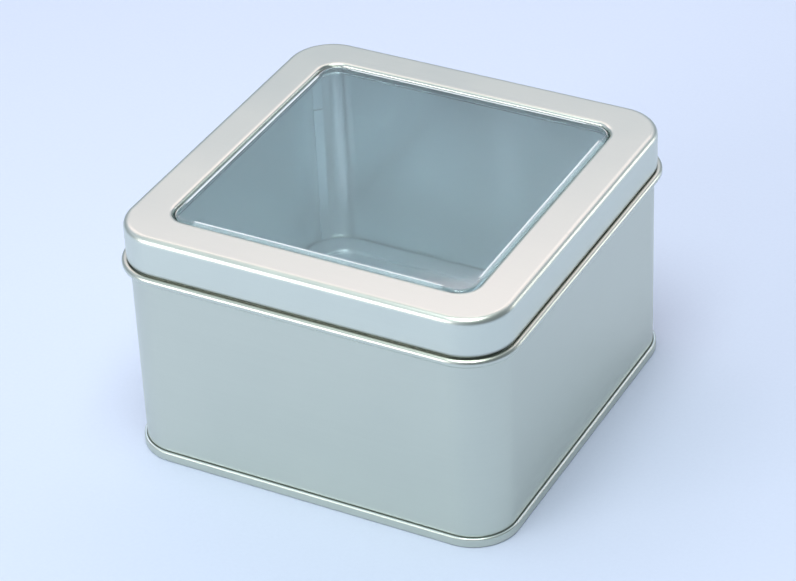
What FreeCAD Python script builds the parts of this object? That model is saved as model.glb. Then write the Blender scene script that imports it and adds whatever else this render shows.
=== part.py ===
"""Square tinplate box with a lift-off window lid, modelled as the sheet-metal pieces it is pressed from.

The origin is the middle of the foot ring's underside, +Z is up and the front faces -Y.
Every pressing is a folded strip of sheet swept round a rounded square, closed by flat plates.
"""
import FreeCAD, Part
import Sketcher
import math
import os

# Driving dimensions in millimetres. Names that end in share are parts of one.
SIZES = {
    # Wall: one bent strip with a rolled top edge and an upright lock seam.
    "body_width": 117.4,
    "body_corner": 12.8,
    "body_plate": 0.25,
    "roll_top": 63.9,
    "roll_height": 2.5,
    "roll_reach": 2.35,
    "roll_gap": 0.12,
    "lock_width": 3.0,
    "lock_depth": 0.55,
    "lock_turn_share": 0.43,
    # Bottom: recessed panel, double-seamed round the wall's lower edge.
    "bottom_plate": 0.25,
    "seam_height": 3.0,
    "seam_gap": 0.06,
    "seam_play": 0.2,
    "seam_round": 0.3,
    "panel_height": 6.4,
    "panel_bend": 0.8,
    "panel_border": 7.0,
    "panel_step": 0.8,
    "step_bend_share": 0.2,
    "panel_corner": 8.0,
    # Collar: strip inside the top of the wall that takes the lid.
    "collar_plate": 0.25,
    "collar_gap": 0.05,
    "collar_depth": 10.0,
    "rim_roll": 1.2,
    "rim_gap": 2.45,
    # Lid: frame, skirt, rolled hem and a window with its edge turned down.
    "lid_plate": 0.25,
    "lid_height": 11.95,
    "lid_gap": 0.35,
    "lid_clearance": 0.3,
    "lid_edge": 2.0,
    "hem_roll": 0.9,
    "hem_height": 1.3,
    "frame_width": 12.3,
    "window_corner": 6.1,
    "window_lip": 2.9,
    "window_fold": 1.2,
    # Pane: formed clear sheet whose groove takes the window's turned edge.
    "pane_plate": 0.4,
    "pane_drop": 0.2,
    "pane_moat": 0.25,
    "pane_edge": 1.2,
    "pane_gap": 0.2,
    "pane_bend": 0.25,
    "pane_flange": 5.4,
    # Glue line between the pane's flange and the frame.
    "glue_thickness": 0.2,
    "glue_width": 3.4,
    # Flat length that each swept edge keeps where a flat plate joins it.
    "plate_join": 0.6,
    # Share of a fold's clear width that its inner bend radius takes.
    "fold_share": 0.45,
}

# Derived places and radii. A face is a distance from the middle, a level is a height above the foot.
PLACES = {
    # Wall.
    "wall_face": "Sizes.body_width / 2",
    "wall_inside": "Places.wall_face - Sizes.body_plate",
    "wall_corner_inside": "Sizes.body_corner - Sizes.body_plate",
    "corner_middle": "Places.wall_face - Sizes.body_corner",
    "roll_face": "Places.wall_face + Sizes.roll_reach",
    "roll_under": "Sizes.roll_top - Sizes.roll_height",
    "roll_tip": "Places.wall_face + Sizes.roll_gap",
    "roll_width": "Sizes.roll_reach + Sizes.body_plate",
    "roll_bend": "Sizes.fold_share * (min(Sizes.roll_height; Places.roll_width) - 2 * Sizes.body_plate)",
    # Double seam, layer by layer from the wall outwards.
    "end_hook_face": "Places.wall_face + Sizes.seam_gap",
    "body_hook_inside": "Places.end_hook_face + Sizes.bottom_plate + Sizes.seam_gap",
    "body_hook_face": "Places.body_hook_inside + Sizes.body_plate",
    "seam_face": "Places.body_hook_face + Sizes.seam_gap + Sizes.bottom_plate",
    "chuck_face": "Places.wall_inside - Sizes.seam_gap - Sizes.bottom_plate",
    "body_hook_under": "Sizes.bottom_plate + Sizes.seam_gap",
    "body_hook_tip": "Sizes.seam_height - Sizes.bottom_plate - Sizes.seam_play",
    "end_hook_tip": "Places.body_hook_under + Sizes.body_plate + Sizes.seam_play",
    "body_hook_bend": "Sizes.fold_share * (Places.body_hook_inside - Places.wall_face)",
    "end_hook_bend": "Sizes.fold_share * (Sizes.body_plate + 2 * Sizes.seam_gap)",
    # Recessed bottom panel.
    "foot_level": "0",
    "panel_under": "Sizes.panel_height - Sizes.bottom_plate",
    "panel_edge": "Places.chuck_face - Sizes.panel_bend - Sizes.plate_join",
    "panel_edge_corner": "Sizes.body_corner - Places.wall_face + Places.panel_edge",
    "step_face": "Places.chuck_face - Sizes.panel_border",
    "step_bend": "Sizes.step_bend_share * Sizes.panel_step",
    "step_level": "Sizes.panel_height - Sizes.panel_step",
    "step_level_under": "Places.step_level - Sizes.bottom_plate",
    "step_reach": "Places.step_bend + Sizes.bottom_plate + Sizes.plate_join",
    "step_outside": "Places.step_face + Places.step_reach",
    "step_outside_corner": "Sizes.panel_corner + Places.step_reach",
    "step_inside": "Places.step_face - Places.step_reach",
    "step_inside_corner": "Sizes.panel_corner - Places.step_reach",
    # Heights of the lid above the roll that it rests over.
    "lid_foot": "Sizes.roll_top + Sizes.lid_gap",
    "lid_top": "Places.lid_foot + Sizes.lid_height",
    "lid_under": "Places.lid_top - Sizes.lid_plate",
    # Collar, with its rim a set gap below the lid.
    "collar_face": "Places.wall_inside - Sizes.collar_gap",
    "collar_corner_inside": "Places.wall_corner_inside - Sizes.collar_gap - Sizes.collar_plate",
    "collar_foot": "Sizes.roll_top - Sizes.collar_depth",
    "rim_top": "Places.lid_under - Sizes.rim_gap",
    "rim_face": "Places.collar_face - Sizes.rim_roll",
    "rim_tip": "Places.rim_top - Sizes.rim_roll",
    "rim_bend": "Sizes.fold_share * (Sizes.rim_roll - 2 * Sizes.collar_plate)",
    # Upright joints in the far corner.
    "lock_half": "Sizes.lock_width / 2",
    "lock_inner": "Places.wall_corner_inside - Sizes.lock_depth",
    "lock_outer": "Places.wall_corner_inside + Sizes.fold_share * Sizes.body_plate",
    "lock_foot": "Sizes.panel_height + Sizes.seam_play",
    "lock_length": "Places.collar_foot - Sizes.seam_play - Places.lock_foot",
    "lap_inner": "Places.collar_corner_inside - Sizes.collar_plate",
    "lap_outer": "Places.collar_corner_inside + Sizes.fold_share * Sizes.collar_plate",
    "lap_length": "Places.rim_tip - Sizes.seam_play - Places.collar_foot",
    # Lid.
    "hem_face": "Places.collar_face + Sizes.lid_clearance",
    "lid_face": "Places.hem_face + Sizes.hem_roll",
    "lid_corner": "Sizes.body_corner + Places.lid_face - Places.wall_face",
    "lid_bend": "Sizes.lid_edge - Sizes.lid_plate",
    "hem_tip": "Places.lid_foot + Sizes.hem_height",
    "hem_bend": "Sizes.fold_share * (Sizes.hem_roll - 2 * Sizes.lid_plate)",
    "frame_outside": "Places.lid_face - Sizes.lid_edge - Sizes.plate_join",
    "frame_outside_corner": "Places.lid_corner - Sizes.lid_edge - Sizes.plate_join",
    "window_face": "Places.lid_face - Sizes.frame_width",
    "window_bend": "Sizes.window_fold - Sizes.lid_plate",
    "window_tip": "Places.lid_top - Sizes.window_lip",
    "frame_inside": "Places.window_face + Sizes.window_fold + Sizes.plate_join",
    "frame_inside_corner": "Sizes.window_corner + Sizes.window_fold + Sizes.plate_join",
    # Pane.
    "pane_top": "Places.lid_top - Sizes.pane_drop",
    "pane_under": "Places.pane_top - Sizes.pane_plate",
    "pane_edge_bend": "Sizes.pane_edge - Sizes.pane_plate",
    "pane_face": "Places.window_face - Sizes.pane_moat",
    "pane_corner": "Sizes.window_corner - Sizes.pane_moat",
    "pane_flat": "Places.pane_face - Sizes.pane_edge - Sizes.plate_join",
    "pane_flat_corner": "Places.pane_corner - Sizes.pane_edge - Sizes.plate_join",
    "moat_level": "Places.window_tip - Sizes.pane_gap",
    "moat_face": "Places.window_face + Sizes.lid_plate + Sizes.pane_gap",
    "flange_level": "Places.lid_under - Sizes.glue_thickness",
    "flange_bend": "Places.window_bend - Sizes.pane_gap - Sizes.pane_plate",
    "flange_end": "Places.moat_face + Sizes.pane_flange",
    # Glue line, in the middle of the flange's flat.
    "flange_inside": "Places.moat_face + Places.flange_bend + Sizes.pane_plate",
    "glue_inside": "(Places.flange_inside + Places.flange_end - Sizes.glue_width) / 2",
    "glue_inside_corner": "Sizes.window_corner + Places.glue_inside - Places.window_face",
    "glue_outside": "Places.glue_inside + Sizes.glue_width",
    "glue_outside_corner": "Places.glue_inside_corner + Sizes.glue_width",
}

doc = FreeCAD.newDocument("window_lid_tin")


def fill_sheet(name, cells):
    """Spreadsheet with one aliased cell for each entry."""
    sheet = doc.addObject("Spreadsheet::Sheet", name)
    for row, (alias, content) in enumerate(cells.items(), start=1):
        sheet.set(f"A{row}", alias)
        sheet.setAlias(f"B{row}", alias)
        sheet.set(f"B{row}", content)
    doc.recompute()
    return sheet


sizes = fill_sheet("Sizes", {alias: str(value) for alias, value in SIZES.items()})
places = fill_sheet("Places", {alias: "=" + rule for alias, rule in PLACES.items()})


def cell(alias):
    """Expression that reads a size or a place, and its present value."""
    if alias in SIZES:
        return f"Sizes.{alias}", float(sizes.get(alias))
    return f"Places.{alias}", float(places.get(alias))


def new_body(label):
    """Empty body for one piece of the tin."""
    body = doc.addObject("PartDesign::Body", label)
    body.Label = label
    return body


def new_sketch(body, name, role, level=None):
    """Sketch on one of the body's own origin planes, raised to a level where one is given."""
    sketch = body.newObject("Sketcher::SketchObject", name)
    plane = next(item for item in body.Origin.OriginFeatures if item.Role == role)
    sketch.AttachmentSupport = (plane, "")
    sketch.MapMode = "FlatFace"
    if level:
        expression, value = cell(level)
        sketch.AttachmentOffset = FreeCAD.Placement(FreeCAD.Vector(0, 0, value), FreeCAD.Rotation())
        sketch.setExpression("AttachmentOffset.Base.z", expression)
    return sketch


def bind(sketch, alias, kind, *where):
    """Dimension of a sketch, held by a cell of the sheets."""
    expression, value = cell(alias)
    index = sketch.addConstraint(Sketcher.Constraint(kind, *where, value))
    sketch.setExpression(f"Constraints[{index}]", expression)


def quarter_arc(middle, radius, first, last):
    """Quarter circle from one tangent point to the next, and the ends at which they lie."""
    start = first - middle
    turn = start.cross(last - middle).z
    begin = start if turn > 0 else last - middle
    angle = FreeCAD.Vector(1, 0, 0).getAngle(begin)
    if begin.y < 0:
        angle = -angle
    circle = Part.Circle(middle, FreeCAD.Vector(0, 0, 1), radius)
    ends = (1, 2) if turn > 0 else (2, 1)
    return Part.ArcOfCircle(circle, angle, angle + math.pi / 2), ends


def rounded_square(sketch, half, corner):
    """Outline of a square about the origin with round corners."""
    a = cell(half)[1]
    r = cell(corner)[1]
    towards = [FreeCAD.Vector(0, 1), FreeCAD.Vector(-1, 0), FreeCAD.Vector(0, -1), FreeCAD.Vector(1, 0)]
    outwards = [FreeCAD.Vector(1, 0), FreeCAD.Vector(0, 1), FreeCAD.Vector(-1, 0), FreeCAD.Vector(0, -1)]
    sides = []
    for out, along in zip(outwards, towards):
        begin = out * a - along * (a - r)
        end = out * a + along * (a - r)
        sides.append([begin, end])
    lines = []
    arcs = []
    for index, (begin, end) in enumerate(sides):
        lines.append(sketch.addGeometry(Part.LineSegment(begin, end), False))
        following = sides[(index + 1) % 4][0]
        middle = end - outwards[index] * r
        arc, _ = quarter_arc(middle, r, end, following)
        arcs.append(sketch.addGeometry(arc, False))
    for index in range(4):
        sketch.addConstraint(Sketcher.Constraint("Tangent", lines[index], 2, arcs[index], 1))
        sketch.addConstraint(Sketcher.Constraint("Tangent", arcs[index], 2, lines[(index + 1) % 4], 1))
        upright = "Vertical" if index % 2 == 0 else "Horizontal"
        sketch.addConstraint(Sketcher.Constraint(upright, lines[index]))
    for arc in arcs[1:]:
        sketch.addConstraint(Sketcher.Constraint("Equal", arcs[0], arc))
    bind(sketch, corner, "Radius", arcs[0])
    bind(sketch, half, "DistanceX", -1, 1, lines[0], 1)
    bind(sketch, half, "DistanceY", -1, 1, lines[1], 1)
    bind(sketch, half, "DistanceX", lines[2], 1, -1, 1)
    bind(sketch, half, "DistanceY", lines[3], 1, -1, 1)


def folded_strip(sketch, start, runs, end, bends, plate, side):
    """Section of a folded sheet: level runs at a height z, upright runs at a distance x, round bends between.

    The runs give one face of the sheet. The sheet lies to the left of the way along them where side is 1,
    and to the right where it is -1. Bends are inner radii.
    """
    thickness = cell(plate)[1]
    values = [cell(alias)[1] for _, alias in runs]
    points = []
    for index in range(len(runs) + 1):
        before = cell(start)[1] if index == 0 else values[index - 1]
        after = cell(end)[1] if index == len(runs) else values[index]
        upright_first = runs[min(index, len(runs) - 1)][0] == "x"
        if index == len(runs):
            upright_first = not upright_first
        points.append(FreeCAD.Vector(after, before) if upright_first else FreeCAD.Vector(before, after))
    ways = []
    for begin, finish in zip(points, points[1:]):
        way = finish - begin
        way.normalize()
        ways.append(way)
    shifts = [FreeCAD.Vector(-way.y, way.x) * side * thickness for way in ways]
    shifted = [points[0] + shifts[0]]
    for index in range(1, len(runs)):
        shifted.append(points[index] + shifts[index - 1] + shifts[index])
    shifted.append(points[-1] + shifts[-1])

    faces = []
    for offset, corners in enumerate((points, shifted)):
        radii = []
        for index, alias in enumerate(bends):
            turn = ways[index].cross(ways[index + 1]).z
            outer = (turn * side > 0) == (offset == 0)
            radii.append(cell(alias)[1] + (thickness if outer else 0))
        lines = []
        arcs = []
        for index, way in enumerate(ways):
            begin = corners[index] + (way * radii[index - 1] if index else FreeCAD.Vector())
            finish = corners[index + 1] - (way * radii[index] if index < len(bends) else FreeCAD.Vector())
            lines.append(sketch.addGeometry(Part.LineSegment(begin, finish), False))
            upright = "Vertical" if runs[index][0] == "x" else "Horizontal"
            sketch.addConstraint(Sketcher.Constraint(upright, lines[-1]))
        for index, radius in enumerate(radii):
            first = corners[index + 1] - ways[index] * radius
            last = corners[index + 1] + ways[index + 1] * radius
            middle = first + ways[index + 1] * radius
            arc, ends = quarter_arc(middle, radius, first, last)
            arcs.append(sketch.addGeometry(arc, False))
            sketch.addConstraint(Sketcher.Constraint("Tangent", lines[index], 2, arcs[-1], ends[0]))
            sketch.addConstraint(Sketcher.Constraint("Tangent", arcs[-1], ends[1], lines[index + 1], 1))
        faces.append((lines, arcs, radii))

    (lines, arcs, radii), (back_lines, back_arcs, back_radii) = faces
    for index, alias in enumerate(bends):
        sketch.addConstraint(Sketcher.Constraint("Coincident", arcs[index], 3, back_arcs[index], 3))
        inner = arcs[index] if radii[index] < back_radii[index] else back_arcs[index]
        bind(sketch, alias, "Radius", inner)
    for line, back, which, at in ((lines[0], back_lines[0], 1, 0), (lines[-1], back_lines[-1], 2, -1)):
        cap = sketch.addGeometry(Part.LineSegment(points[at], shifted[at]), False)
        sketch.addConstraint(Sketcher.Constraint("Coincident", cap, 1, line, which))
        sketch.addConstraint(Sketcher.Constraint("Coincident", cap, 2, back, which))
        level = "Horizontal" if runs[at][0] == "x" else "Vertical"
        sketch.addConstraint(Sketcher.Constraint(level, cap))
        if at == 0:
            bind(sketch, plate, "Distance", cap)
    for line, (axis, alias) in zip(lines, runs):
        bind(sketch, alias, "DistanceX" if axis == "x" else "DistanceY", -1, 1, line, 1)
    bind(sketch, start, "DistanceY" if runs[0][0] == "x" else "DistanceX", -1, 1, lines[0], 1)
    bind(sketch, end, "DistanceY" if runs[-1][0] == "x" else "DistanceX", -1, 1, lines[-1], 2)


def sweep(body, name, path, strip):
    """Folded strip carried once round a rounded square."""
    way = new_sketch(body, name + "_path", "XY_Plane")
    rounded_square(way, *path)
    section = new_sketch(body, name + "_section", "XZ_Plane")
    folded_strip(section, **strip)
    doc.recompute()
    pipe = body.newObject("PartDesign::AdditivePipe", name)
    pipe.Profile = section
    pipe.Spine = way
    doc.recompute()
    return pipe


def flat_plate(body, name, level, outline, hole, thickness):
    """Flat sheet between two rounded squares, or with no hole."""
    sketch = new_sketch(body, name + "_outline", "XY_Plane", level)
    rounded_square(sketch, *outline)
    if hole:
        rounded_square(sketch, *hole)
    doc.recompute()
    pad = body.newObject("PartDesign::Pad", name)
    pad.Profile = sketch
    pad.setExpression("Length", cell(thickness)[0])
    doc.recompute()
    return pad


def corner_joint(body, name, foot, length, inner, outer):
    """Upright flat strip on the inside of the far corner, where the ends of a bent strip are joined."""
    sketch = new_sketch(body, name + "_outline", "XY_Plane", foot)
    near = cell(inner)[1]
    far = cell(outer)[1]
    half = cell("lock_half")[1]
    corners = [
        FreeCAD.Vector(near, -half),
        FreeCAD.Vector(far, -half),
        FreeCAD.Vector(far, half),
        FreeCAD.Vector(near, half),
    ]
    lines = []
    for begin, finish in zip(corners, corners[1:] + corners[:1]):
        lines.append(sketch.addGeometry(Part.LineSegment(begin, finish), False))
    for index in range(4):
        sketch.addConstraint(Sketcher.Constraint("Coincident", lines[index], 2, lines[(index + 1) % 4], 1))
        level = "Horizontal" if index % 2 == 0 else "Vertical"
        sketch.addConstraint(Sketcher.Constraint(level, lines[index]))
    bind(sketch, inner, "DistanceX", -1, 1, lines[0], 1)
    bind(sketch, outer, "DistanceX", -1, 1, lines[2], 1)
    bind(sketch, "lock_half", "DistanceY", lines[0], 1, -1, 1)
    bind(sketch, "lock_half", "DistanceY", -1, 1, lines[2], 1)
    sketch.setExpression("AttachmentOffset.Base.x", "-Places.corner_middle")
    sketch.setExpression("AttachmentOffset.Base.y", "Places.corner_middle")
    sketch.setExpression("AttachmentOffset.Rotation.Angle", "180 deg - 90 deg * Sizes.lock_turn_share")
    doc.recompute()
    pad = body.newObject("PartDesign::Pad", name)
    pad.Profile = sketch
    pad.setExpression("Length", cell(length)[0])
    doc.recompute()
    return pad


def make_body_wall():
    """Wall strip: hook for the bottom seam, straight wall, top edge rolled outwards, lock seam."""
    body = new_body("body_wall")
    strip = {
        "start": "body_hook_tip",
        "runs": [
            ("x", "body_hook_face"),
            ("z", "body_hook_under"),
            ("x", "wall_inside"),
            ("z", "roll_top"),
            ("x", "roll_face"),
            ("z", "roll_under"),
        ],
        "end": "roll_tip",
        "bends": ["body_hook_bend", "body_hook_bend", "roll_bend", "roll_bend", "roll_bend"],
        "plate": "body_plate",
        "side": -1,
    }
    sweep(body, "wall_strip", ("wall_face", "body_corner"), strip)
    corner_joint(body, "lock_seam", "lock_foot", "lock_length", "lock_inner", "lock_outer")
    return body


def make_bottom_panel():
    """Bottom: hook, seam wall, foot, inner wall, border and a centre set one step lower."""
    body = new_body("bottom_panel")
    seam = {
        "start": "end_hook_tip",
        "runs": [
            ("x", "end_hook_face"),
            ("z", "seam_height"),
            ("x", "seam_face"),
            ("z", "foot_level"),
            ("x", "chuck_face"),
            ("z", "panel_under"),
        ],
        "end": "panel_edge",
        "bends": ["end_hook_bend", "end_hook_bend", "seam_round", "seam_round", "panel_bend"],
        "plate": "bottom_plate",
        "side": -1,
    }
    sweep(body, "double_seam", ("wall_face", "body_corner"), seam)
    border = ("panel_edge", "panel_edge_corner")
    step_outside = ("step_outside", "step_outside_corner")
    flat_plate(body, "panel_border_plate", "panel_under", border, step_outside, "bottom_plate")
    step = {
        "start": "step_inside",
        "runs": [("z", "step_level"), ("x", "step_face"), ("z", "panel_height")],
        "end": "step_outside",
        "bends": ["step_bend", "step_bend"],
        "plate": "bottom_plate",
        "side": -1,
    }
    sweep(body, "panel_step_ring", ("step_face", "panel_corner"), step)
    centre = ("step_inside", "step_inside_corner")
    flat_plate(body, "panel_centre_plate", "step_level_under", centre, None, "bottom_plate")
    return body


def make_neck_collar():
    """Collar: strip inside the wall with its top edge rolled inwards and its ends lapped."""
    body = new_body("neck_collar")
    strip = {
        "start": "collar_foot",
        "runs": [("x", "collar_face"), ("z", "rim_top"), ("x", "rim_face")],
        "end": "rim_tip",
        "bends": ["rim_bend", "rim_bend"],
        "plate": "collar_plate",
        "side": 1,
    }
    sweep(body, "collar_strip", ("wall_face", "body_corner"), strip)
    corner_joint(body, "collar_lap", "collar_foot", "lap_length", "lap_inner", "lap_outer")
    return body


def make_lid_shell():
    """Lid: rounded edge, skirt and rolled hem, flat frame, window edge turned down."""
    body = new_body("lid_shell")
    skirt = {
        "start": "frame_outside",
        "runs": [("z", "lid_top"), ("x", "lid_face"), ("z", "lid_foot"), ("x", "hem_face")],
        "end": "hem_tip",
        "bends": ["lid_bend", "hem_bend", "hem_bend"],
        "plate": "lid_plate",
        "side": -1,
    }
    sweep(body, "lid_skirt", ("lid_face", "lid_corner"), skirt)
    outside = ("frame_outside", "frame_outside_corner")
    inside = ("frame_inside", "frame_inside_corner")
    flat_plate(body, "lid_frame", "lid_under", outside, inside, "lid_plate")
    lip = {
        "start": "frame_inside",
        "runs": [("z", "lid_top"), ("x", "window_face")],
        "end": "window_tip",
        "bends": ["window_bend"],
        "plate": "lid_plate",
        "side": 1,
    }
    sweep(body, "window_lip_ring", ("window_face", "window_corner"), lip)
    return body


def make_window_pane():
    """Pane: raised flat middle, rounded edge, groove for the window's turned edge, flange under the frame."""
    body = new_body("window_pane")
    groove = {
        "start": "pane_flat",
        "runs": [
            ("z", "pane_top"),
            ("x", "pane_face"),
            ("z", "moat_level"),
            ("x", "moat_face"),
            ("z", "flange_level"),
        ],
        "end": "flange_end",
        "bends": ["pane_edge_bend", "pane_bend", "pane_bend", "flange_bend"],
        "plate": "pane_plate",
        "side": -1,
    }
    sweep(body, "pane_groove", ("window_face", "window_corner"), groove)
    flat_plate(body, "pane_middle", "pane_under", ("pane_flat", "pane_flat_corner"), None, "pane_plate")
    return body


def make_window_glue():
    """Adhesive line that holds the pane's flange to the frame."""
    body = new_body("window_glue")
    outline = ("glue_outside", "glue_outside_corner")
    hole = ("glue_inside", "glue_inside_corner")
    flat_plate(body, "glue_line", "flange_level", outline, hole, "glue_thickness")
    return body


def write_pieces(pieces):
    """Stop on any failed object, then write each piece under its own label."""
    doc.recompute()
    for item in doc.Objects:
        if "Invalid" in item.State or "Error" in item.State:
            raise RuntimeError(f"{item.Label} failed: {item.State}")
    for piece in pieces:
        shape = piece.Shape
        if shape.isNull() or not shape.isValid() or len(shape.Solids) != 1:
            raise RuntimeError(f"{piece.Label} is not one valid solid")
    os.makedirs("parts", exist_ok=True)
    for piece in pieces:
        piece.Shape.exportStep(f"parts/{piece.Label}.step")
        print(piece.Label, round(piece.Shape.Volume, 1))


write_pieces([
    make_body_wall(),
    make_bottom_panel(),
    make_neck_collar(),
    make_lid_shell(),
    make_window_pane(),
    make_window_glue(),
])
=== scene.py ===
import bmesh
import bpy
import math
from mathutils import Matrix, Vector


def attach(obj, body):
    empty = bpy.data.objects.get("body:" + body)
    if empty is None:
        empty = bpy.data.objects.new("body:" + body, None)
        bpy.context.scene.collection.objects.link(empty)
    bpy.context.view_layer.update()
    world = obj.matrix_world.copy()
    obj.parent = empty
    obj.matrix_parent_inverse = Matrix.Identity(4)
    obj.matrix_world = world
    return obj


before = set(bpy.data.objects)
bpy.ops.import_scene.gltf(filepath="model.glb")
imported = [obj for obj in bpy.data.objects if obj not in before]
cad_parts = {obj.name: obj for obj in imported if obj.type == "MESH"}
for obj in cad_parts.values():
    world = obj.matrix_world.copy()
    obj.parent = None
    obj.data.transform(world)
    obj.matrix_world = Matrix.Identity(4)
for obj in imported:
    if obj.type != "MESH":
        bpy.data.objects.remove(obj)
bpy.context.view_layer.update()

# Body wall: one strip of satin tinplate, bent to a rounded square and locked together in the far corner.
# Its top edge is rolled outwards into the ring that stops the lid, and its foot is hooked into the bottom seam.
# The sheet keeps the fine level lines of the rolling mill, a cloudy tone and a few hair scratches.


def node_group(name, takes, gives):
    """Empty shader group with its named sockets, and the sockets at its two ends."""
    group = bpy.data.node_groups.new(name, "ShaderNodeTree")
    for label, kind, value in takes:
        socket = group.interface.new_socket(label, in_out="INPUT", socket_type="NodeSocket" + kind)
        socket.default_value = value
    for label, kind in gives:
        group.interface.new_socket(label, in_out="OUTPUT", socket_type="NodeSocket" + kind)
    entry = group.nodes.new("NodeGroupInput")
    leave = group.nodes.new("NodeGroupOutput")
    return group, entry.outputs, leave.inputs


def new_material(name):
    """Material with its node tree, its shader's sockets and the coordinates on the object."""
    made = bpy.data.materials.new(name)
    made.use_nodes = True
    tree = made.node_tree
    where = tree.nodes.new("ShaderNodeTexCoord")
    return made, tree, tree.nodes["Principled BSDF"].inputs, where.outputs


def feed(tree, source, socket):
    """Link a node's output to a socket, or write a plain value on it."""
    if isinstance(source, bpy.types.NodeSocket):
        tree.links.new(source, socket)
    else:
        socket.default_value = source


def reckon(tree, operation, *terms):
    """Math node on sockets or numbers."""
    step = tree.nodes.new("ShaderNodeMath")
    step.operation = operation
    for term, socket in zip(terms, step.inputs):
        feed(tree, term, socket)
    return step.outputs["Value"]


def shifted(tree, value, *changes):
    """Value that each mask changes by its own amount."""
    for mask, amount in changes:
        value = reckon(tree, "MULTIPLY_ADD", mask, amount, value)
    return value


def vector(tree, operation, first, second):
    """Vector Math node on two sockets or vectors."""
    step = tree.nodes.new("ShaderNodeVectorMath")
    step.operation = operation
    feed(tree, first, step.inputs[0])
    feed(tree, second, step.inputs[1])
    return step.outputs["Value"] if operation == "DOT_PRODUCT" else step.outputs["Vector"]


def axes(tree, place):
    """X, Y and Z of a place, by name."""
    split = tree.nodes.new("ShaderNodeSeparateXYZ")
    feed(tree, place, split.inputs["Vector"])
    return split.outputs


def blend(tree, share, first, second):
    """Mix of two colours."""
    step = tree.nodes.new("ShaderNodeMix")
    step.data_type = "RGBA"
    feed(tree, share, step.inputs["Factor"])
    feed(tree, first, step.inputs["A"])
    feed(tree, second, step.inputs["B"])
    return step.outputs["Result"]


def speckle(tree, place, per_metre, detail):
    """Noise with its own number of grains per metre along each axis."""
    noise = tree.nodes.new("ShaderNodeTexNoise")
    noise.inputs["Scale"].default_value = 1
    noise.inputs["Detail"].default_value = detail
    feed(tree, vector(tree, "MULTIPLY", place, per_metre), noise.inputs["Vector"])
    return noise.outputs[0]


def rise(tree, value, low, high):
    """Mask that rises from 0 at low to 1 at high."""
    step = tree.nodes.new("ShaderNodeMapRange")
    step.interpolation_type = "SMOOTHSTEP"
    feed(tree, value, step.inputs["Value"])
    feed(tree, low, step.inputs["From Min"])
    feed(tree, high, step.inputs["From Max"])
    return step.outputs["Result"]


def fall(tree, value, low, high):
    """Mask that falls from 1 at low to 0 at high."""
    return reckon(tree, "SUBTRACT", 1, rise(tree, value, low, high))


def band(tree, value, middle, reach):
    """Mask that is 1 at the middle and fades out within its reach on both sides."""
    away = reckon(tree, "ABSOLUTE", reckon(tree, "SUBTRACT", value, middle))
    return fall(tree, away, 0, reach)


def relief(tree, height, strength, depth):
    """Normal of a surface with a fine relief."""
    bump = tree.nodes.new("ShaderNodeBump")
    bump.inputs["Strength"].default_value = strength
    bump.inputs["Distance"].default_value = depth
    feed(tree, height, bump.inputs["Height"])
    return bump.outputs["Normal"]


def levels(node):
    """Heights above the floor of all the points of a piece."""
    return [point.co.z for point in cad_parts[node].data.vertices]


# A crease level of 1 m lies far above the tin, so a pressing that sets none has no painted crease shade.
level_lines = (24, 24, 2400)
tree, taken, given = node_group(
    "satin_tin",
    [
        ("Place", "Vector", (0, 0, 0)),
        ("Facing", "Vector", (0, 0, 1)),
        ("Lines per Metre", "Vector", level_lines),
        ("Outside", "Color", (0.8, 0.8, 0.8, 1)),
        ("Inside", "Color", (0.9, 0.9, 0.9, 1)),
        ("Satin", "Float", 0.33),
        ("Inside Satin", "Float", 0.13),
        ("Lacquer", "Float", 0.0),
        ("Rubbed Level", "Float", 0.0),
        ("Rubbed Reach", "Float", 0.002),
        ("Crease Level", "Float", 1.0),
        ("Crease Reach", "Float", 0.0005),
    ],
    [("Colour", "Color"), ("Metal", "Float"), ("Roughness", "Float"), ("Height", "Float")],
)
satin_tin = tree
clouds_per_metre = (55, 55, 55)
strands_per_metre = (34, 1500, 1500)
lines = speckle(tree, taken["Place"], taken["Lines per Metre"], detail=3)
cloud = speckle(tree, taken["Place"], clouds_per_metre, detail=4)
turned = tree.nodes.new("ShaderNodeVectorRotate")
turned.inputs["Axis"].default_value = (0.35, 0.25, 0.9)
turned.inputs["Angle"].default_value = 0.6
feed(tree, taken["Place"], turned.inputs["Vector"])
strands = speckle(tree, turned.outputs["Vector"], strands_per_metre, detail=2)
scratch = rise(tree, strands, low=0.70, high=0.76)

# Faces that look towards the middle of the tin have a thin lacquer that fills the lines and scratches, and
# their colour is brightened as painted light.
tin_middle = (0, 0, 0.038)
inside_blur = 0.004
inwards = vector(tree, "SUBTRACT", tin_middle, taken["Place"])
inside = rise(tree, vector(tree, "DOT_PRODUCT", inwards, taken["Facing"]), -inside_blur, inside_blur)
bare = reckon(tree, "SUBTRACT", 1, inside)
scratch = reckon(tree, "MULTIPLY", scratch, bare)
lines = reckon(tree, "MULTIPLY_ADD", reckon(tree, "SUBTRACT", lines, 0.5), bare, 0.5)
lacquered = reckon(tree, "MULTIPLY", inside, taken["Lacquer"])
feed(tree, reckon(tree, "SUBTRACT", 1, lacquered), given["Metal"])

# Along a crease the sheet is painted darker, as painted shade, and it is rougher there.
# A band where pieces rub or hands close on the edge is polished, and the cloud breaks it up.
level = axes(tree, taken["Place"])["Z"]
crease_shade = band(tree, level, taken["Crease Level"], taken["Crease Reach"])
rubbed = band(tree, level, taken["Rubbed Level"], taken["Rubbed Reach"])
rubbed = reckon(tree, "MULTIPLY", rubbed, rise(tree, cloud, low=0.25, high=0.6))

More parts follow.
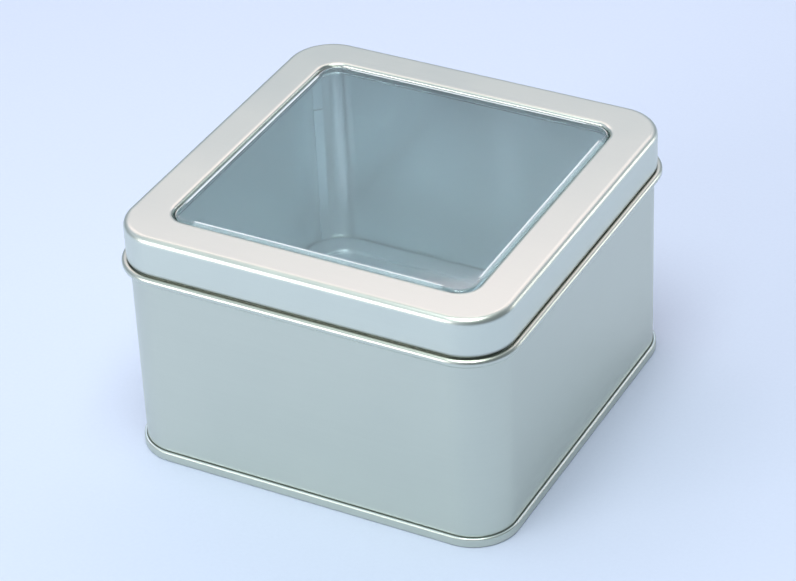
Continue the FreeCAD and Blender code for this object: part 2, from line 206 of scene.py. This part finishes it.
# Lines and cloud are a half on average, so half of what they add is taken off first.
line_tone = 0.035
cloud_tone = 0.04
mean_tone = 1 - (line_tone + cloud_tone) / 2
scratch_tone = -0.02
crease_shade_tone = -0.75
tone = shifted(tree, mean_tone, (lines, line_tone), (cloud, cloud_tone), (scratch, scratch_tone))
tone = reckon(tree, "MULTIPLY", tone, shifted(tree, 1, (crease_shade, crease_shade_tone)))
toned = tree.nodes.new("ShaderNodeVectorMath")
toned.operation = "SCALE"
feed(tree, blend(tree, inside, taken["Outside"], taken["Inside"]), toned.inputs[0])
feed(tree, tone, toned.inputs["Scale"])
feed(tree, toned.outputs["Vector"], given["Colour"])

line_satin = 0.04
cloud_satin = 0.10
scratch_satin = 0.05
rubbed_satin = -0.07
crease_satin = 0.2
satin = reckon(tree, "SUBTRACT", taken["Inside Satin"], taken["Satin"])
satin = reckon(tree, "MULTIPLY_ADD", satin, inside, taken["Satin"])
satin = reckon(tree, "SUBTRACT", satin, (line_satin + cloud_satin) / 2)
satin = shifted(tree, satin, (lines, line_satin), (cloud, cloud_satin), (scratch, scratch_satin))
satin = shifted(tree, satin, (rubbed, rubbed_satin), (crease_shade, crease_satin))
feed(tree, satin, given["Roughness"])
scratch_height = -0.6
feed(tree, shifted(tree, lines, (scratch, scratch_height)), given["Height"])


def tinplate(name, looks):
    """Satin tinplate for one pressing, with its own settings of the finish."""
    made, tree, shader, where = new_material(name)
    finish = tree.nodes.new("ShaderNodeGroup")
    finish.node_tree = satin_tin
    feed(tree, where["Object"], finish.inputs["Place"])
    feed(tree, where["Normal"], finish.inputs["Facing"])
    for label, value in looks.items():
        finish.inputs[label].default_value = value
    feed(tree, finish.outputs["Colour"], shader["Base Color"])
    feed(tree, finish.outputs["Metal"], shader["Metallic"])
    feed(tree, finish.outputs["Roughness"], shader["Roughness"])
    feed(tree, relief(tree, finish.outputs["Height"], strength=0.3, depth=0.00001), shader["Normal"])
    return made


wall_tin = (0.605, 0.64, 0.558, 1)
# Partly real lacquer, partly painted light: the inside colour is much brighter than the bare tin.
lit_lacquer_tin = (0.86, 0.97, 0.985, 1)
lacquer = 0.45
roll_height = 0.0026
seam_top = 0.0031
wall_top = max(levels("body_wall"))
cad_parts["body_wall"].data.materials[0] = tinplate("wall_tinplate", {
    "Lines per Metre": level_lines,
    "Outside": wall_tin,
    "Inside": lit_lacquer_tin,
    "Lacquer": lacquer,
    "Satin": 0.33,
    "Rubbed Level": wall_top - roll_height / 2,
    "Rubbed Reach": 0.0022,
    # Painted shade: a thin dark band on the wall just above the bottom seam.
    "Crease Level": seam_top,
})

# Bottom panel: a pressed tinplate sheet, set up inside the wall and stepped once round its border.
# Its edge is folded twice round the wall's hook, and the seam is the foot ring that the tin slides on.
# Painted shade: the bottom panel's tinplate is a darker copy of the wall's, so the foot ring looks shaded.
shaded_foot_tin = (0.59, 0.625, 0.545, 1)
foot_level = min(levels("bottom_panel"))
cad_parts["bottom_panel"].data.materials[0] = tinplate("bottom_tinplate", {
    "Lines per Metre": (24, 2400, 240),
    "Outside": shaded_foot_tin,
    "Inside": lit_lacquer_tin,
    "Lacquer": lacquer,
    "Satin": 0.35,
    "Rubbed Level": foot_level,
    "Rubbed Reach": 0.0016,
})

# Neck collar: a second strip of tinplate inside the top of the wall, lapped in the far corner.
# Its upper edge is rolled inwards, and the lid's hem rubs on its outer face.
rub_depth = 0.0045
collar_top = max(levels("neck_collar"))
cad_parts["neck_collar"].data.materials[0] = tinplate("collar_tinplate", {
    "Lines per Metre": level_lines,
    "Outside": wall_tin,
    "Inside": lit_lacquer_tin,
    "Lacquer": lacquer,
    "Satin": 0.33,
    "Rubbed Level": collar_top - rub_depth,
    "Rubbed Reach": 0.0050,
})

# Lid shell: drawn from one tinplate blank, a flat frame with rounded edges, a short skirt and a rolled hem.
# The lines of the sheet run straight across the frame, and the window's edge is bent down all round.
# Its underside is bare metal, and the foot of the skirt, where the lid stops on the ring, is painted darker as
# painted shade.
lid_tin = (0.675, 0.715, 0.635, 1)
hem_bend = 0.00025
lid_foot = min(levels("lid_shell"))
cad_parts["lid_shell"].data.materials[0] = tinplate("lid_tinplate", {
    "Lines per Metre": (24, 2400, 2400),
    "Outside": lid_tin,
    "Inside": lid_tin,
    "Lacquer": 0,
    "Satin": 0.33,
    "Inside Satin": 0.2,
    "Rubbed Level": lid_foot + hem_bend,
    "Rubbed Reach": 0.0012,
    # Painted shade: a thin dark band round the foot of the skirt.
    "Crease Level": lid_foot,
    "Crease Reach": 0.0012,
})

# Window glue: a thin line of milky hot-melt that bonds the pane's flange to the underside of the frame.
# It set uneven, cloudier where it is thick, with a soft skin.
thin_milk = (0.80, 0.80, 0.74, 1)
thick_milk = (0.93, 0.93, 0.89, 1)
milky_glue, tree, shader, where = new_material("milky_glue")
shader["Subsurface Weight"].default_value = 0.4
shader["Subsurface Radius"].default_value = (0.002, 0.002, 0.0016)
lumps_per_metre = (420, 420, 420)
lumps = speckle(tree, where["Object"], lumps_per_metre, detail=3)
feed(tree, blend(tree, lumps, thin_milk, thick_milk), shader["Base Color"])
feed(tree, shifted(tree, 0.4, (lumps, 0.2)), shader["Roughness"])
feed(tree, relief(tree, lumps, strength=0.4, depth=0.00008), shader["Normal"])
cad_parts["window_glue"].data.materials[0] = milky_glue

# Window pane: clear plastic sheet, formed hot over a block so that its middle fills the window.
# The sheet is faintly rippled from the forming, and its face has a light uneven haze.
clear_sheet, tree, shader, where = new_material("clear_sheet")
shader["Base Color"].default_value = (0.94, 0.985, 1.0, 1)
shader["IOR"].default_value = 1.5
shader["Transmission Weight"].default_value = 1
haze_per_metre = (90, 90, 90)
ripples_per_metre = (34, 34, 34)
haze = speckle(tree, where["Object"], haze_per_metre, detail=4)
feed(tree, shifted(tree, 0.01, (haze, 0.04)), shader["Roughness"])
ripple = speckle(tree, where["Object"], ripples_per_metre, detail=1)
feed(tree, relief(tree, ripple, strength=0.25, depth=0.0002), shader["Normal"])
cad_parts["window_pane"].data.materials[0] = clear_sheet

# Painted rim highlight: along each straight side a pale band is painted over the pane's rounded edge as a
# painted reflection.
# It follows the rounded edge, ends short of the corners and carries a painted highlight along its inner line.


def show(name, data):
    """New object in the scene, with its mesh, lamp or camera."""
    made = bpy.data.objects.new(name, data)
    bpy.context.scene.collection.objects.link(made)
    return made


def show_shape(name, shape):
    """New object in the scene, with a mesh from a finished shape."""
    mesh = bpy.data.meshes.new(name)
    shape.to_mesh(mesh)
    shape.free()
    return show(name, mesh)


edge_radius = 0.0012
pane_face = 0.04705
pane_flat = pane_face - edge_radius
pane_top = max(levels("window_pane"))
border_reach = 0.0004
border_half = 0.0395
skin_outside = 0.00003
skin_inside = 0.00001
bend_end = 78
bend_step = 6
outline = []
for lift in (skin_outside, skin_inside):
    row = [(pane_flat - border_reach, pane_top + lift)]
    for degrees in range(0, bend_end + 1, bend_step):
        tilt = math.radians(degrees)
        bend = edge_radius + lift
        row.append((pane_flat + bend * math.sin(tilt), pane_top - edge_radius + bend * math.cos(tilt)))
    outline += row if not outline else row[::-1]
border = bmesh.new()
end_face = border.faces.new([border.verts.new((-border_half, -out, level)) for out, level in outline])
grown = bmesh.ops.extrude_face_region(border, geom=[end_face], use_keep_orig=True)["geom"]
far_end = [part for part in grown if isinstance(part, bmesh.types.BMVert)]
bmesh.ops.translate(border, vec=(2 * border_half, 0, 0), verts=far_end)
side = border.verts[:] + border.edges[:] + border.faces[:]
bmesh.ops.spin(
    border, geom=side, cent=(0, 0, 0), axis=(0, 0, 1), angle=math.radians(270), steps=3, use_duplicate=True
)
bmesh.ops.recalc_face_normals(border, faces=border.faces[:])
rim_highlight_strips = show_shape("rim_highlight_strips", border)
rim_highlight_strips.data.shade_smooth()
rim_highlight_strips.data.set_sharp_from_angle(angle=math.radians(40))

pale_rim_reflection = (0.70, 0.84, 0.88, 1)
white_rim_highlight = (0.95, 0.97, 0.98, 1)
streaks_per_metre = (140, 140, 140)
line_inside = pane_flat - 0.0001
line_outside = pane_flat + 0.0003
fade_start = border_half - 0.002
rim_highlight_paint, tree, shader, where = new_material("rim_highlight_paint")
streaks = speckle(tree, where["Object"], streaks_per_metre, detail=3)
place = axes(tree, where["Object"])
sides = [reckon(tree, "ABSOLUTE", place[axis]) for axis in "XY"]
across = reckon(tree, "MAXIMUM", *sides)
along = reckon(tree, "MINIMUM", *sides)
# The whitest line is a painted highlight on the rim, and the rest of the band is a painted reflection.
highlight_line = fall(tree, across, line_inside, line_outside)
pale = shifted(tree, 0.16, (streaks, 0.2), (highlight_line, 0.35))
pale = reckon(tree, "MULTIPLY", pale, fall(tree, along, fade_start, border_half))
feed(tree, pale, shader["Alpha"])
feed(tree, blend(tree, highlight_line, pale_rim_reflection, white_rim_highlight), shader["Base Color"])
feed(tree, shifted(tree, 0.15, (streaks, 0.2)), shader["Roughness"])
rim_highlight_strips.data.materials.append(rim_highlight_paint)
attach(rim_highlight_strips, "lid")

# Floor: a wide sheet of matt pale card, with a faint tooth, on which the tin stands.
# It is rolled out flat, far past what the camera sees, and takes the tin's soft shadow.
floor_half = 6
card = bmesh.new()
bmesh.ops.create_grid(card, x_segments=1, y_segments=1, size=floor_half)
floor = show_shape("floor", card)
deep_card = (0.615, 0.685, 0.83, 1)
light_card = (0.645, 0.715, 0.86, 1)
pale_card, tree, shader, where = new_material("pale_card")
shader["Roughness"].default_value = 0.7
tooth_per_metre = (900, 900, 900)
tooth = speckle(tree, where["Object"], tooth_per_metre, detail=2)
feed(tree, blend(tree, tooth, deep_card, light_card), shader["Base Color"])
floor.data.materials.append(pale_card)

# Studio light: a warm strip over the back, a softbox overhead, a low key on the left of the front and a small
# low strip behind on the right. The room is pale at mid height, and dim near the floor and on the right.


def softbox(name, place, aim, width, length, radiance, colour):
    """Rectangular lamp with an even glow, turned towards a point."""
    lamp = bpy.data.lights.new(name, "AREA")
    lamp.shape = "RECTANGLE"
    lamp.size = width
    lamp.size_y = length
    lamp.energy = radiance * math.pi * width * length
    lamp.color = colour
    holder = show(name, lamp)
    holder.location = place
    holder.rotation_euler = (Vector(aim) - Vector(place)).to_track_quat("-Z", "Y").to_euler()
    holder.visible_camera = False


lid_middle = (0, 0, 0.07)
right_aim = (0, 0, 0.08)
softbox("back_strip", (-0.165, 0.300, 0.470), lid_middle,
        width=0.9, length=0.22, radiance=1.2, colour=(1.0, 0.70, 0.68))
softbox("top_softbox", (0.10, -0.27, 1.14), lid_middle,
        width=0.63, length=0.63, radiance=6.2, colour=(0.94, 1.0, 0.98))
softbox("key_softbox", (-0.60, -1.04, 0.40), lid_middle,
        width=0.66, length=0.50, radiance=5.0, colour=(1.0, 0.98, 0.96))
softbox("right_strip", (0.60, 0.68, 0.16), right_aim,
        width=0.24, length=0.28, radiance=3.0, colour=(1.0, 0.97, 0.95))

low_wall = (0.40, 0.46, 0.52, 1)
middle_wall = (0.83, 0.92, 1.10, 1)
ceiling = (0.70, 0.80, 0.88, 1)
dim_side = (0.26, 0.30, 0.34, 1)
room = bpy.data.worlds.new("room")
bpy.context.scene.world = room
room.use_nodes = True
tree = room.node_tree
walls = tree.nodes["Background"].inputs
walls["Strength"].default_value = 0.83
sight = tree.nodes.new("ShaderNodeTexCoord").outputs["Generated"]
fade = tree.nodes.new("ShaderNodeValToRGB")
fade.color_ramp.interpolation = "EASE"
low_stop, high_stop = fade.color_ramp.elements
low_stop.position = 0.10
low_stop.color = low_wall
high_stop.position = 0.90
high_stop.color = ceiling
fade.color_ramp.elements.new(0.52).color = middle_wall
feed(tree, axes(tree, sight)["Z"], fade.inputs["Fac"])
dim_towards = (0.88, -0.25, 0.40)
dimmed = rise(tree, vector(tree, "DOT_PRODUCT", sight, dim_towards), low=0.20, high=0.80)
feed(tree, blend(tree, dimmed, fade.outputs["Color"], dim_side), walls["Color"])

# Camera: a long lens, a little to the right of the front and about 34 degrees above the floor.
# It is rolled a little, as the edges of the tin show, and everything is in focus.
azimuth = math.radians(29.00848)
elevation = math.radians(34.01737)
roll = math.radians(-2.65430)
distance = 0.870817
aim = Vector((0.008888, -0.017295, 0.048645))
flat = math.cos(elevation)
back = Vector((math.sin(azimuth) * flat, -math.cos(azimuth) * flat, math.sin(elevation)))
right = Vector((math.cos(azimuth), math.sin(azimuth), 0))
up = back.cross(right)
rolled_right = math.cos(roll) * right + math.sin(roll) * up
rolled_up = math.cos(roll) * up - math.sin(roll) * right
lens = bpy.data.cameras.new("camera")
lens.sensor_width = 36
lens.lens = 139.552
lens.clip_start = 0.01
stand = show("camera", lens)
turn = Matrix((rolled_right, rolled_up, back)).transposed()
stand.matrix_world = Matrix.Translation(aim + back * distance) @ turn.to_4x4()
bpy.context.scene.camera = stand
bpy.context.scene.view_settings.view_transform = "Standard"
